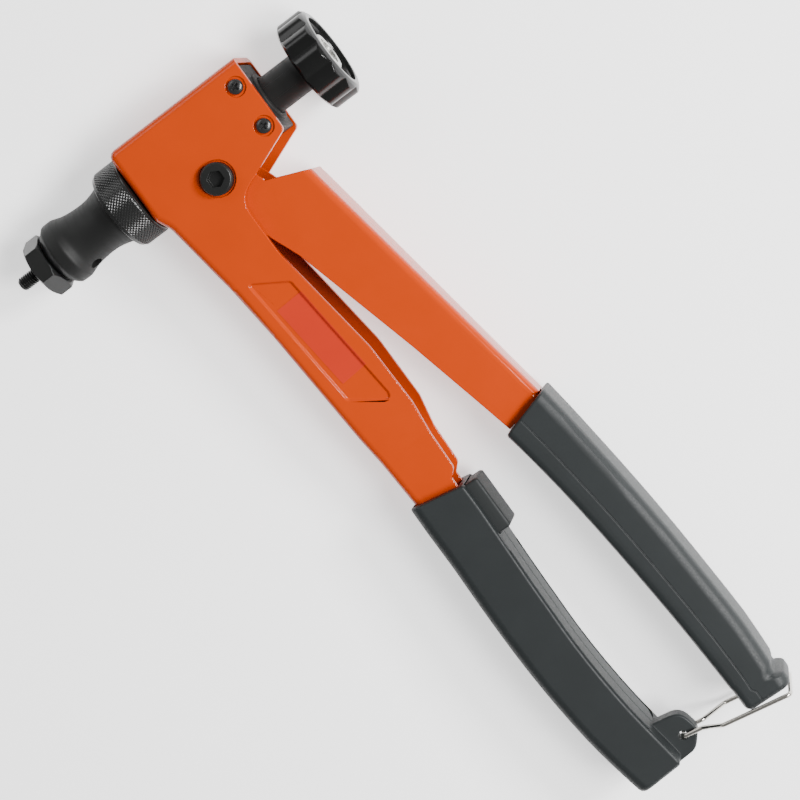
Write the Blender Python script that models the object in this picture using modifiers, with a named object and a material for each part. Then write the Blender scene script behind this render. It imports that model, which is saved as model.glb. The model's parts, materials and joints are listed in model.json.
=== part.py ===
"""Hand rivet nut tool, modelled lying on its side.

X runs along the spindle from the nose to the knob, +Y points from the handle
ends to the top of the head, and +Z is the thickness, out of the near plate.
Everything is first drawn about the pivot bolt, and the root empty then moves
the whole tool so that its origin is the bottom centre of its bounding box.
"""
import math

import bmesh
import bpy
from mathutils import Matrix, Vector

mm = 0.001

# Fits: the gap between touching pieces, a running fit and a loose hole
SEAT = 0.3 * mm
RUN = 0.35 * mm
LOOSE = 0.7 * mm

# Pressed sheet of the body and of the moving handle
SHEET = 2.4 * mm
BEND = 3.6 * mm
HANDLE_BEND = 3.2 * mm
HEAD_WIDTH = 30.0 * mm
SHANK_WIDTH = 22.0 * mm
TANG_WIDTH = 16.6 * mm

# Head, measured from the pivot
SPINDLE_RISE = 14.45 * mm
HEAD_ABOVE_SPINDLE = 18.75 * mm
HEAD_FRONT = 30.4 * mm
HEAD_REAR = 32.2 * mm
REAR_EDGE = 14.6 * mm
THROAT_X = 2.2 * mm
THROAT_DEPTH = 11.5 * mm
THROAT_RADIUS = 9.0 * mm

# Fixed handle: where its edges are from the neck under the head down to the grip
NECK_DROP = 4.5 * mm
NECK_OUT = 27.4 * mm
SHOULDER_DROP = 37.0 * mm
SHOULDER_OUT = 22.5 * mm
ELBOW_DROP = 62.0 * mm
ELBOW_OUT = 20.2 * mm
GRIP_DROP = 147.0 * mm
GRIP_OUT = 15.3 * mm
GRIP_IN = 6.6 * mm
SHANK_IN = 8.8 * mm
JOGGLE_ABOVE_GRIP = 34.0 * mm
JOGGLE_LENGTH = 13.0 * mm
SHANK_ABOVE_JOGGLE = 27.0 * mm
TANG_LENGTH = 42.0 * mm
TANG_INSET = 3.2 * mm

# Pressed panel of the fixed handle
PANEL_DEPTH = 0.9 * mm
PANEL_SLOPE = 1.6 * mm
PANEL_TOP = 37.0 * mm
PANEL_ABOVE_JOGGLE = 2.0 * mm

# Moving handle
HANDLE_WIDTH = 24.0 * mm
HANDLE_TANG_WIDTH = 17.0 * mm
HANDLE_GRIP_DROP = 138.4 * mm
HANDLE_GRIP_SLOPE = 16.5
HANDLE_DEPTH = 17.7 * mm
HANDLE_TANG_DEPTH = 13.8 * mm
HANDLE_LEAN = 9.5
HANDLE_BACK = 30.8 * mm
HANDLE_BACK_DROP = 18.0 * mm
LOBE_WIDTH = 14.4 * mm
LOBE_LENGTH = 21.0 * mm
LOBE_TILT = 13.3
HUB_RADIUS = 10.5 * mm

# Moulded grips
GRIP_WIDTH = 28.0 * mm
GRIP_PALM_ROUND = 5.0 * mm
GRIP_MOUTH_ROUND = 1.0 * mm
GRIP_END_ROUND = 2.5 * mm
FIXED_INNER_ROUND = 1.2 * mm
MOVING_INNER_ROUND = 3.6 * mm
GROOVE_WIDTH = 1.8 * mm
GROOVE_DEPTH = 2.2 * mm
FIXED_RIB = 21.6 * mm
MOVING_RIB = 15.6 * mm
PARTING = 0.25 * mm
CREASE_SHARE = 0.38

# Handle stop, lug and wire bail
STOP_LENGTH = 23.0 * mm
STOP_WIDTH = 20.0 * mm
STOP_PROUD = 5.4 * mm
STOP_SUNK = 1.5 * mm
LUG_THICKNESS = 8.0 * mm
LUG_HOLE = 3.6 * mm
LUG_X = 16.5 * mm
LUG_BELOW_GRIP = 133.6 * mm
WIRE = 2.0 * mm
BAIL_REACH = 46.1 * mm
BAIL_WIDTH = 30.8 * mm
BAIL_NECK = 11.4 * mm
BAIL_LATCHED = 4.0
BAIL_RELEASE = 12.5
LIP = 1.9 * mm

# Pivot bolt
PIVOT_THREAD = 8.0 * mm
PIVOT_HEAD = 13.0 * mm
PIVOT_HEAD_HEIGHT = 4.0 * mm
PIVOT_SOCKET = 6.0 * mm
PIVOT_NUT_FLATS = 13.0 * mm
PIVOT_NUT_HEIGHT = 4.0 * mm
PIVOT_SEAT_DEPTH = 1.0 * mm
PIVOT_SEAT_GAP = 0.7 * mm
PIVOT_BUSH = 12.0 * mm

# Guide block and its screws
GUIDE_LENGTH = 12.0 * mm
GUIDE_BOSS = 21.0 * mm
GUIDE_BOSS_HEIGHT = 1.6 * mm
SCREW_HEAD = 6.0 * mm
SCREW_HEAD_HEIGHT = 2.0 * mm
SCREW_THREAD = 3.0 * mm
SCREW_LENGTH = 6.0 * mm
SCREW_INSET = 5.5 * mm
SCREW_SPACING = 18.2 * mm
SCREW_SEAT_DEPTH = 0.7 * mm

# Spindle line: nose pieces
HEX_FLATS = 22.0 * mm
HEX_LENGTH = 7.4 * mm
HEX_CHAMFER = 1.1 * mm
HEX_TURN = -5.2
ANVIL_THREAD = 12.0 * mm
ANVIL_THREAD_LENGTH = 11.0 * mm
HEX_GAP = 0.8 * mm
NOSE_FLARE = 26.8 * mm
NOSE_WAIST = 22.2 * mm
NOSE_LENGTH = 31.2 * mm
NOSE_THREAD = 18.0 * mm
NOSE_BORE = 13.0 * mm
NOSE_SPIGOT = 21.4 * mm
RING_DIAMETER = 34.4 * mm
RING_LENGTH = 12.3 * mm
BUSH_LENGTH = 13.2 * mm
BUSH_FLANGE = 23.4 * mm
BUSH_ROOM = 1.3 * mm
BUSH_NECK = 21.4 * mm
TOMMY_HOLE = 5.0 * mm

# Spindle line: pieces that are pulled
MANDREL = 6.0 * mm
MANDREL_OUT = 10.4 * mm
COUPLER_LENGTH = 16.0 * mm
SHAFT = 8.0 * mm
SLEEVE = 16.0 * mm
SLEEVE_FRONT = 8.0 * mm
TRUNNION = 6.0 * mm
COLLAR = 13.6 * mm
COLLAR_LENGTH = 2.4 * mm

# Knob
KNOB_DIAMETER = 38.6 * mm
KNOB_LENGTH = 13.4 * mm
KNOB_FRONT = 49.8 * mm
KNOB_LOBES = 8
KNOB_FLUTE = 2.3 * mm
KNOB_RECESS = 29.0 * mm
KNOB_RECESS_DEPTH = 2.6 * mm
INSERT = 15.6 * mm
INSERT_TEETH = 20

SIDES = 32

# Folded plates are drawn this far each side of the middle, and then take their real width
DRAWN = 10 * mm

# Cutters reach this far past what they open
PAST = 30 * mm

# Derived places
JOGGLE_DROP = GRIP_DROP - JOGGLE_ABOVE_GRIP
SHANK_DROP = JOGGLE_DROP - SHANK_ABOVE_JOGGLE
PANEL_BOTTOM = JOGGLE_DROP - PANEL_ABOVE_JOGGLE
LUG_DROP = GRIP_DROP + LUG_BELOW_GRIP
TOP = SPINDLE_RISE + HEAD_ABOVE_SPINDLE
HEAD_INNER = HEAD_WIDTH / 2 - SHEET
TRUNNION_X = SPINDLE_RISE * math.tan(math.radians(LOBE_TILT))
NOSE_REAR = -(HEAD_FRONT + SEAT + RING_LENGTH + SEAT)
NOSE_FRONT = NOSE_REAR - NOSE_LENGTH
HEX_REAR = NOSE_FRONT - HEX_GAP
HEX_FACE = HEX_REAR - HEX_LENGTH
COUPLER_FRONT = NOSE_REAR - 6 * mm
PIVOT_HOLE = PIVOT_THREAD + LOOSE
KNOB_REAR = KNOB_FRONT + KNOB_LENGTH
GUIDE_REAR = HEAD_REAR - 0.6 * mm
GUIDE_FRONT = GUIDE_REAR - GUIDE_LENGTH


# Scene

for old in list(bpy.data.objects):
    bpy.data.objects.remove(old)

parts = bpy.data.collections.new("rivet_nut_tool")
guides = bpy.data.collections.new("cutters")
for group in (parts, guides):
    bpy.context.scene.collection.children.link(group)


def empty(name, parent=None, place=(0, 0, 0), turn=(0, 0, 0)):
    item = bpy.data.objects.new(name, None)
    item.empty_display_size = 0.01
    item.location = place
    item.rotation_euler = turn
    item.parent = parent
    parts.objects.link(item)
    return item


root = empty("frame")
spindle_line = empty("spindle_line", root, (0, SPINDLE_RISE, 0), (0, math.radians(90), 0))
drawbar = empty("drawbar", root, (0, SPINDLE_RISE, 0), (0, math.radians(90), 0))
spindle = empty("spindle", drawbar)
handle = empty("handle", root)
bail_turn = (0, 0, math.radians(BAIL_LATCHED - BAIL_RELEASE))
bail = empty("bail", root, (LUG_X, -LUG_DROP, 0), bail_turn)


def material(name, colour, roughness, metallic):
    item = bpy.data.materials.new(name)
    item.use_nodes = True
    shader = item.node_tree.nodes["Principled BSDF"]
    shader.inputs["Base Color"].default_value = (*colour, 1)
    shader.inputs["Roughness"].default_value = roughness
    shader.inputs["Metallic"].default_value = metallic
    item.diffuse_color = (*colour, 1)
    return item


FINISHES = {
    "orange_paint": ((0.86, 0.20, 0.02), 0.25, 0.0),
    "black_oxide": ((0.035, 0.035, 0.038), 0.35, 0.9),
    "black_plastic": ((0.02, 0.02, 0.022), 0.4, 0.0),
    "slate_grip": ((0.075, 0.085, 0.10), 0.5, 0.0),
    "black_rubber": ((0.03, 0.03, 0.033), 0.7, 0.0),
    "nickel_wire": ((0.72, 0.71, 0.68), 0.25, 1.0),
    "bright_steel": ((0.62, 0.62, 0.60), 0.3, 1.0),
}


def finish(item, kind):
    item.data.materials.clear()
    item.data.materials.append(material(f"{item.name}_{kind}", *FINISHES[kind]))
    return item


# Lines and outlines


def arc(centre, radius, start, end, steps):
    """Points on a circle, angles in degrees."""
    turns = [math.radians(start + (end - start) * i / steps) for i in range(steps + 1)]
    return [(centre[0] + radius * math.cos(t), centre[1] + radius * math.sin(t)) for t in turns]


def fillet(points, steps=4):
    """Round the corners of a closed outline; each point is (x, y) or (x, y, radius)."""
    line = []
    for i, point in enumerate(points):
        here = Vector(point[:2])
        if len(point) < 3 or point[2] <= 0:
            line.append(tuple(here))
            continue
        back = (Vector(points[i - 1][:2]) - here)
        ahead = (Vector(points[(i + 1) % len(points)][:2]) - here)
        half = back.angle(ahead) / 2
        reach = min(point[2] / math.tan(half), 0.48 * back.length, 0.48 * ahead.length)
        radius = reach * math.tan(half)
        middle = here + (back.normalized() + ahead.normalized()).normalized() * radius / math.sin(half)
        first = here + back.normalized() * reach - middle
        last = here + ahead.normalized() * reach - middle
        sweep = first.angle_signed(last)
        for step in range(steps + 1):
            spoke = first.copy()
            spoke.rotate(Matrix.Rotation(-sweep * step / steps, 2))
            line.append(tuple(middle + spoke))
    return line


def smooth(points, steps=3):
    """A smooth line through the points (Catmull-Rom)."""
    line = []
    ends = [points[0], *points, points[-1]]
    for i in range(1, len(ends) - 2):
        a, b, c, d = (Vector(p) for p in ends[i - 1:i + 3])
        for step in range(steps):
            t = step / steps
            line.append(tuple(0.5 * (2 * b + (c - a) * t + (2 * a - 5 * b + 4 * c - d) * t * t
                                     + (3 * b - a - 3 * c + d) * t * t * t)))
    line.append(tuple(points[-1]))
    return line


def shifted(line, distance):
    """The open line moved to its left by a distance."""
    moved = []
    for i, point in enumerate(line):
        before = Vector(line[max(i - 1, 0)])
        after = Vector(line[min(i + 1, len(line) - 1)])
        here = Vector(point)
        runs = [v.normalized() for v in (here - before, after - here) if v.length > 1e-9]
        normals = [Vector((-run.y, run.x)) for run in runs]
        side = sum(normals, Vector((0, 0))).normalized()
        moved.append(tuple(here + side * distance / max(side.dot(normals[0]), 0.4)))
    return moved


def inset(corners, distance):
    """The open line of (x, y, radius) corners moved to its left: turns to the left tighten,
    turns to the right open."""
    moved = shifted([corner[:2] for corner in corners], distance)
    for i in range(1, len(corners) - 1):
        if len(corners[i]) < 3:
            continue
        before, here, after = (Vector(corner[:2]) for corner in corners[i - 1:i + 2])
        turn = (here - before).cross(after - here)
        moved[i] = (*moved[i], max(corners[i][2] - math.copysign(distance, turn), SEAT))
    return fillet(moved, 3)


def meet(a, b, c, d):
    """Where the line through a and b crosses the line through c and d."""
    a, b, c, d = (Vector(point[:2]) for point in (a, b, c, d))
    return tuple(a + (b - a) * ((c - a).cross(d - c) / (b - a).cross(d - c)))


def at_drop(upper, lower, drop):
    """The point of the line from upper to lower that lies a drop below the pivot."""
    share = (upper[1] + drop) / (upper[1] - lower[1])
    return (upper[0] + (lower[0] - upper[0]) * share, -drop)


# Solids


def tidy(mesh):
    shape = bmesh.new()
    shape.from_mesh(mesh)
    bmesh.ops.remove_doubles(shape, verts=shape.verts, dist=1e-6)
    bmesh.ops.dissolve_limit(shape, angle_limit=0.002, verts=shape.verts, edges=shape.edges)
    bmesh.ops.recalc_face_normals(shape, faces=shape.faces)
    shape.to_mesh(mesh)
    shape.free()


def baked(item, collection):
    """Replace a curve by the mesh that it evaluates to."""
    bpy.context.view_layer.update()
    graph = bpy.context.evaluated_depsgraph_get()
    mesh = bpy.data.meshes.new_from_object(item.evaluated_get(graph))
    tidy(mesh)
    name = item.name
    parent = item.parent
    basis = item.matrix_basis.copy()
    bpy.data.objects.remove(item)
    solid = bpy.data.objects.new(name, mesh)
    solid.parent = parent
    solid.matrix_basis = basis
    collection.objects.link(solid)
    return solid


def plate(name, outline, low, high, parent=root, collection=parts):
    """A flat outline with its faces at two heights."""
    curve = bpy.data.curves.new(name, "CURVE")
    curve.dimensions = "2D"
    curve.fill_mode = "BOTH"
    curve.extrude = (high - low) / 2
    spline = curve.splines.new("POLY")
    spline.points.add(len(outline) - 1)
    for point, (x, y) in zip(spline.points, outline):
        point.co = (x, y, 0, 1)
    spline.use_cyclic_u = True
    item = bpy.data.objects.new(name, curve)
    item.location = (0, 0, (low + high) / 2)
    item.parent = parent
    collection.objects.link(item)
    solid = baked(item, collection)
    solid.data.transform(Matrix.Translation(solid.location))
    solid.location = (0, 0, 0)
    return solid


def loft(name, rings, parent=root, collection=parts):
    """A closed solid through rings of equally many points."""
    shape = bmesh.new()
    loops = [[shape.verts.new(point) for point in ring] for ring in rings]
    for below, above in zip(loops, loops[1:]):
        for i in range(len(below)):
            j = (i + 1) % len(below)
            shape.faces.new((below[i], below[j], above[j], above[i]))
    shape.faces.new(loops[0][::-1])
    shape.faces.new(loops[-1])
    mesh = bpy.data.meshes.new(name)
    shape.to_mesh(mesh)
    shape.free()
    tidy(mesh)
    item = bpy.data.objects.new(name, mesh)
    item.parent = parent
    collection.objects.link(item)
    return item


def folded(name, corners, closed, skin, radius, parent=root, collection=parts):
    """A plate bent round along an open line of corners, at a skin's depth inside that line.
    closed turns each of its lines into a whole outline."""
    rings = []
    for side, turns in ((-1, (0, 30, 60, 90)), (1, (90, 60, 30, 0))):
        for turn in turns:
            t = math.radians(turn)
            outline = closed(inset(corners, skin + radius * (1 - math.sin(t))))
            height = DRAWN - skin - radius * (1 - math.cos(t))
            rings.append([(x, y, side * height) for x, y in outline])
    return loft(name, rings, parent, collection)


def turned(name, outer, bore=None, parent=spindle_line, collection=parts, sides=SIDES):
    """A turned piece along its own Z; outer and bore list (place, radius) in rising place."""
    if bore:
        profile = list(reversed(outer)) + list(bore)
    else:
        profile = [(outer[-1][0], 0)] + list(reversed(outer)) + [(outer[0][0], 0)]
    mesh = bpy.data.meshes.new(name)
    edges = [(i, i + 1) for i in range(len(profile) - 1)]
    if bore:
        edges.append((len(profile) - 1, 0))
    mesh.from_pydata([(radius, 0, place) for place, radius in profile], edges, [])
    item = bpy.data.objects.new(name, mesh)
    item.parent = parent
    collection.objects.link(item)
    screw = item.modifiers.new("Turn", "SCREW")
    screw.axis = "Z"
    screw.steps = sides
    screw.render_steps = sides
    screw.use_merge_vertices = True
    screw.merge_threshold = 1e-6
    settled(item)
    tidy(item.data)
    return item


def drum(name, radius, low, high, parent=root, place=(0, 0), sides=SIDES, collection=parts):
    """A plain cylinder along Z."""
    mesh = bpy.data.meshes.new(name)
    shape = bmesh.new()
    bmesh.ops.create_cone(shape, cap_ends=True, segments=sides, radius1=radius, radius2=radius,
                          depth=high - low)
    bmesh.ops.translate(shape, verts=shape.verts, vec=(0, 0, (low + high) / 2))
    shape.to_mesh(mesh)
    shape.free()
    item = bpy.data.objects.new(name, mesh)
    item.location = (place[0], place[1], 0)
    item.parent = parent
    collection.objects.link(item)
    return item


def block(name, low, high, parent=root, collection=parts):
    """A box between two corners."""
    mesh = bpy.data.meshes.new(name)
    shape = bmesh.new()
    bmesh.ops.create_cube(shape, size=1)
    size = [b - a for a, b in zip(low, high)]
    bmesh.ops.scale(shape, verts=shape.verts, vec=size)
    bmesh.ops.translate(shape, verts=shape.verts, vec=[(a + b) / 2 for a, b in zip(low, high)])
    shape.to_mesh(mesh)
    shape.free()
    item = bpy.data.objects.new(name, mesh)
    item.parent = parent
    collection.objects.link(item)
    return item


def combine(item, tool, operation):
    tool.hide_render = True
    tool.display_type = "WIRE"
    step = item.modifiers.new(f"{operation.title()} {tool.name}", "BOOLEAN")
    step.operation = operation
    step.object = tool
    return item


def cut(item, tool):
    return combine(item, tool, "DIFFERENCE")


def join(item, tool):
    return combine(item, tool, "UNION")


def rounded(item, width, segments=3, angle=40):
    step = item.modifiers.new("Round", "BEVEL")
    step.width = width
    step.segments = segments
    step.limit_method = "ANGLE"
    step.angle_limit = math.radians(angle)
    return item


def settled(item):
    """Bake the modifiers, so that later steps see the finished mesh."""
    bpy.context.view_layer.update()
    graph = bpy.context.evaluated_depsgraph_get()
    mesh = bpy.data.meshes.new_from_object(item.evaluated_get(graph))
    item.modifiers.clear()
    item.data = mesh
    return item


def smooth_shaded(item, angle=35):
    item.data.shade_smooth()
    item.data.set_sharp_from_angle(angle=math.radians(angle))
    return item


def follow_width(item, stations):
    """Give a plate that is drawn at +-DRAWN the width that the handle has at each drop."""
    shape = bmesh.new()
    shape.from_mesh(item.data)
    for drop, _ in stations:
        faces = shape.verts[:] + shape.edges[:] + shape.faces[:]
        bmesh.ops.bisect_plane(shape, geom=faces, plane_co=(0, -drop, 0), plane_no=(0, 1, 0))
    bmesh.ops.remove_doubles(shape, verts=shape.verts, dist=2e-5)
    for vert in shape.verts:
        height = half_width(stations, -vert.co.y) - DRAWN + abs(vert.co.z)
        vert.co.z = math.copysign(height, vert.co.z)
    shape.to_mesh(item.data)
    shape.free()
    return item


def half_width(stations, drop):
    if drop <= stations[0][0]:
        return stations[0][1] / 2
    for (a, wide), (b, narrow) in zip(stations, stations[1:]):
        if drop <= b:
            return (wide + (narrow - wide) * (drop - a) / (b - a)) / 2
    return stations[-1][1] / 2


# Body: one folded sheet, closed along the top, the front and the handle's outer edge

BODY_WIDTHS = [(30 * mm, HEAD_WIDTH), (JOGGLE_DROP, SHANK_WIDTH),
               (JOGGLE_DROP + JOGGLE_LENGTH, TANG_WIDTH)]
TANG_END = GRIP_DROP + TANG_LENGTH
TANG_OUT = GRIP_OUT
TANG_IN = GRIP_IN - TANG_INSET

neck = (-NECK_OUT, -NECK_DROP, 8 * mm)
shoulder = (-SHOULDER_OUT, -SHOULDER_DROP, 60 * mm)
elbow = (-ELBOW_OUT, -ELBOW_DROP, 60 * mm)
grip_mouth = (-GRIP_OUT, -GRIP_DROP)
body_back = [
    (HEAD_REAR, TOP),
    (-HEAD_FRONT, TOP, 3.2 * mm),
    (-HEAD_FRONT, SPINDLE_RISE - BUSH_FLANGE / 2 - BUSH_ROOM, 3 * mm),
    neck,
    shoulder,
    elbow,
    grip_mouth,
    (-TANG_OUT, -TANG_END),
]
body_front = fillet([
    (TANG_IN, -TANG_END),
    (TANG_IN, -GRIP_DROP + 1.0 * mm),
    (GRIP_IN, -GRIP_DROP + 4.0 * mm, 3 * mm),
    (GRIP_IN + 0.6 * mm, -(JOGGLE_DROP + JOGGLE_LENGTH), 8 * mm),
    (SHANK_IN + 0.4 * mm, -JOGGLE_DROP, 8 * mm),
    (SHANK_IN, -SHANK_DROP, 30 * mm),
    (THROAT_X, -SHOULDER_DROP, 30 * mm),
    (THROAT_X, -THROAT_DEPTH, THROAT_RADIUS),
    (HEAD_REAR, SPINDLE_RISE - REAR_EDGE, 2.0 * mm),
    (HEAD_REAR, TOP),
])[:-1]


def body_closed(line):
    return line + body_front


def body_opened(line):
    """Run the hollow out of the head's rear, the handle's inner side and the tang's end."""
    top = line[0][1]
    foot = line[-1][1] - PAST
    return [(HEAD_REAR + PAST, top)] + line[1:-1] + [(line[-1][0], foot), (HEAD_REAR + PAST, foot)]


body_shell = folded("body_shell", body_back, body_closed, 0, BEND)
follow_width(body_shell, BODY_WIDTHS)
body_hollow = folded("body_hollow", body_back, body_opened, SHEET, BEND - SHEET, collection=guides)
follow_width(body_hollow, BODY_WIDTHS)
cut(body_shell, body_hollow)

# Pressed panel in both faces of the fixed handle
panel_top = at_drop(shoulder, elbow, PANEL_TOP)
panel_end = at_drop(elbow, grip_mouth, PANEL_BOTTOM)
panel = fillet([
    (panel_top[0] + 5.9 * mm, -PANEL_TOP, PANEL_SLOPE + 0.4 * mm),
    (panel_end[0] + 5.4 * mm, -(PANEL_BOTTOM - 12.5 * mm), 3 * mm),
    (SHANK_IN - 3.2 * mm, -PANEL_BOTTOM, 3 * mm),
    (THROAT_X - 2.0 * mm, -(PANEL_TOP + 10.3 * mm), 3 * mm),
], steps=3)


def panel_cutter(name, side):
    """A shallow tray whose floor follows the plate and whose walls slope."""
    tray = plate(name, panel, -1 * mm, 1 * mm, collection=guides)
    inner = shifted(panel + panel[:2], PANEL_SLOPE)[1:-1]
    inner = inner[-1:] + inner[:-1]
    for vert in tray.data.vertices:
        if vert.co.z > 0:
            lift = 1.0 * mm
        else:
            nearest = min(range(len(panel)), key=lambda i: (Vector(panel[i]) - vert.co.xy).length)
            vert.co.x, vert.co.y = inner[nearest]
            lift = -PANEL_DEPTH
        vert.co.z = side * (half_width(BODY_WIDTHS, -vert.co.y) + lift)
    if side < 0:
        tray.data.flip_normals()
    return tray


for label, side in (("near", 1), ("far", -1)):
    cut(body_shell, panel_cutter(f"panel_{label}", side))

# Seats and holes for the pivot bolt, the guide screws and the front bush
half_head = HEAD_WIDTH / 2
cut(body_shell, drum("pivot_hole", PIVOT_HOLE / 2, -half_head - 1 * mm, half_head + 1 * mm,
                     collection=guides))
SCREW_X = HEAD_REAR - SCREW_INSET
SCREWS = {"upper": SPINDLE_RISE + SCREW_SPACING / 2, "lower": SPINDLE_RISE - SCREW_SPACING / 2}
nut_corner = PIVOT_NUT_FLATS / math.sqrt(3)
for label, side, seated in (("near", 1, PIVOT_HEAD / 2), ("far", -1, nut_corner)):
    floor = half_head - PIVOT_SEAT_DEPTH
    heights = sorted((side * floor, side * (half_head + 1 * mm)))
    cut(body_shell, drum(f"pivot_seat_{label}", seated + PIVOT_SEAT_GAP, *heights, collection=guides))
    for level, rise in SCREWS.items():
        hole = sorted((side * (HEAD_INNER - 1 * mm), side * (half_head + 1 * mm)))
        dimple = sorted((side * (half_head - SCREW_SEAT_DEPTH), side * (half_head + 1 * mm)))
        cut(body_shell, drum(f"screw_hole_{label}_{level}", SCREW_THREAD / 2 + SEAT, *hole,
                             place=(SCREW_X, rise), sides=12, collection=guides))
        cut(body_shell, drum(f"screw_seat_{label}_{level}", SCREW_HEAD / 2 + 1.0 * mm, *dimple,
                             place=(SCREW_X, rise), sides=20, collection=guides))
cut(body_shell, turned("bush_hole", [(-HEAD_FRONT - 4 * mm, BUSH_NECK / 2 + SEAT),
                                     (-HEAD_FRONT + SHEET + 2 * mm, BUSH_NECK / 2 + SEAT)],
                       collection=guides))
finish(body_shell, "orange_paint")

# Front bush, riveted in the front web, and the nose that screws into it
head_front = -HEAD_FRONT
web_back = head_front + SHEET + SEAT
front_bush = turned("front_bush", [
    (head_front, BUSH_NECK / 2),
    (web_back, BUSH_NECK / 2),
    (web_back, BUSH_FLANGE / 2),
    (head_front + BUSH_LENGTH - 1 * mm, BUSH_FLANGE / 2),
    (head_front + BUSH_LENGTH, BUSH_FLANGE / 2 - 1 * mm),
], [
    (head_front, NOSE_THREAD / 2 + SEAT),
    (head_front + BUSH_LENGTH, NOSE_THREAD / 2 + SEAT),
], sides=28)
finish(front_bush, "black_oxide")

ring_rear = head_front - SEAT
ring_front = ring_rear - RING_LENGTH
ring = RING_DIAMETER / 2
lock_ring = turned("lock_ring", [
    (ring_front, ring - 2.6 * mm),
    (ring_front + 0.5 * mm, ring - 1.8 * mm),
    (ring_front + 2.6 * mm, ring - 0.5 * mm),
    (ring_front + 3.0 * mm, ring),
    (ring_rear - 1.6 * mm, ring),
    (ring_rear - 1.2 * mm, ring - 0.5 * mm),
    (ring_rear, ring - 0.5 * mm),
], [
    (ring_front, NOSE_THREAD / 2 + SEAT),
    (ring_rear, NOSE_THREAD / 2 + SEAT),
])
finish(lock_ring, "black_oxide")

flare = NOSE_FLARE / 2
waist = NOSE_WAIST / 2
step_x = NOSE_FRONT + ANVIL_THREAD_LENGTH + 1.5 * mm
nose_sleeve = turned("nose_sleeve", [
    (NOSE_FRONT, flare - 2.6 * mm),
    (NOSE_FRONT + 2.6 * mm, flare - 0.3 * mm),
    (NOSE_FRONT + 4.0 * mm, flare),
    (NOSE_FRONT + 7.0 * mm, flare),
    (NOSE_FRONT + 8.6 * mm, flare - 0.5 * mm),
    (NOSE_FRONT + 11.0 * mm, waist + 0.9 * mm),
    (NOSE_FRONT + 13.9 * mm, waist + 0.5 * mm),
    (NOSE_FRONT + 16.7 * mm, waist + 0.2 * mm),
    (NOSE_REAR - 10.5 * mm, waist),
    (NOSE_REAR - 7.1 * mm, waist + 0.3 * mm),
    (NOSE_REAR - 3.9 * mm, waist + 1.0 * mm),
    (NOSE_REAR - 1.6 * mm, waist + 1.8 * mm),
    (NOSE_REAR, waist + 2.0 * mm),
    (NOSE_REAR, NOSE_THREAD / 2),
    (NOSE_REAR + NOSE_SPIGOT - 0.8 * mm, NOSE_THREAD / 2),
    (NOSE_REAR + NOSE_SPIGOT, NOSE_THREAD / 2 - 0.8 * mm),
], [
    (NOSE_FRONT, ANVIL_THREAD / 2 + SEAT),
    (step_x, ANVIL_THREAD / 2 + SEAT),
    (step_x, NOSE_BORE / 2),
    (NOSE_REAR + NOSE_SPIGOT, NOSE_BORE / 2),
], sides=30)
tommy = turned("tommy_hole", [(0, TOMMY_HOLE / 2), (flare + 2 * mm, TOMMY_HOLE / 2)],
               collection=guides, sides=20)
tommy.location = (0, 0, NOSE_FRONT + 11.5 * mm)
tommy.rotation_euler = (math.radians(90), 0, math.radians(-40))
cut(nose_sleeve, tommy)
finish(nose_sleeve, "black_oxide")

# Anvil: hexagon with arc chamfers, and the thread that holds it in the sleeve
corner = HEX_FLATS / math.sqrt(3)
over = corner + 0.4 * mm
reach_in = HEX_CHAMFER * (over - HEX_FLATS / 2) / (corner - HEX_FLATS / 2)
anvil = drum("anvil", corner, HEX_FACE, HEX_REAR, parent=spindle_line, sides=6)
anvil.rotation_euler = (0, 0, math.radians(HEX_TURN))
chamfer = turned("anvil_chamfer", [
    (HEX_FACE - HEX_CHAMFER, HEX_FLATS - corner),
    (HEX_FACE + reach_in, over),
    (HEX_REAR - reach_in, over),
    (HEX_REAR + HEX_CHAMFER, HEX_FLATS - corner),
], collection=guides, sides=36)
combine(anvil, chamfer, "INTERSECT")
shank = turned("anvil_shank", [
    (HEX_REAR - 2 * mm, ANVIL_THREAD / 2),
    (HEX_REAR + HEX_GAP + ANVIL_THREAD_LENGTH, ANVIL_THREAD / 2),
], collection=guides)
join(anvil, shank)
bore = turned("anvil_bore", [(HEX_FACE - 2 * mm, MANDREL / 2 + RUN),
                             (HEX_REAR + HEX_GAP + ANVIL_THREAD_LENGTH + 1 * mm, MANDREL / 2 + RUN)],
              collection=guides)
cut(anvil, bore)
finish(anvil, "black_oxide")

# Rear guide block, which closes the head and carries the pulled sleeve
guide_half = HEAD_INNER - SEAT
guide_floor = SPINDLE_RISE - REAR_EDGE + 1.2 * mm
guide_roof = TOP - SHEET - SEAT
rear_guide = block("rear_guide", (GUIDE_FRONT, guide_floor, -guide_half),
                   (GUIDE_REAR, guide_roof, guide_half))
rounded(rear_guide, 0.8 * mm, 2)
settled(rear_guide)
boss = turned("guide_boss", [
    (GUIDE_REAR - 2 * mm, GUIDE_BOSS / 2),
    (GUIDE_REAR + GUIDE_BOSS_HEIGHT - 0.6 * mm, GUIDE_BOSS / 2),
    (GUIDE_REAR + GUIDE_BOSS_HEIGHT, GUIDE_BOSS / 2 - 0.6 * mm),
], collection=guides)
join(rear_guide, boss)
cut(rear_guide, turned("guide_bore", [(GUIDE_FRONT - 2 * mm, SLEEVE / 2 + RUN),
                                      (GUIDE_REAR + 6 * mm, SLEEVE / 2 + RUN)], collection=guides))
screw_floor = half_head - SCREW_SEAT_DEPTH + SEAT
for label, side in (("near", 1), ("far", -1)):
    for level, rise in SCREWS.items():
        pocket = sorted((side * (screw_floor - SCREW_LENGTH - 0.6 * mm), side * (guide_half + 1 * mm)))
        cut(rear_guide, drum(f"pocket_{label}_{level}", SCREW_THREAD / 2 + SEAT, *pocket,
                             place=(SCREW_X, rise), sides=12, collection=guides))
finish(rear_guide, "black_plastic")


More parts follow.
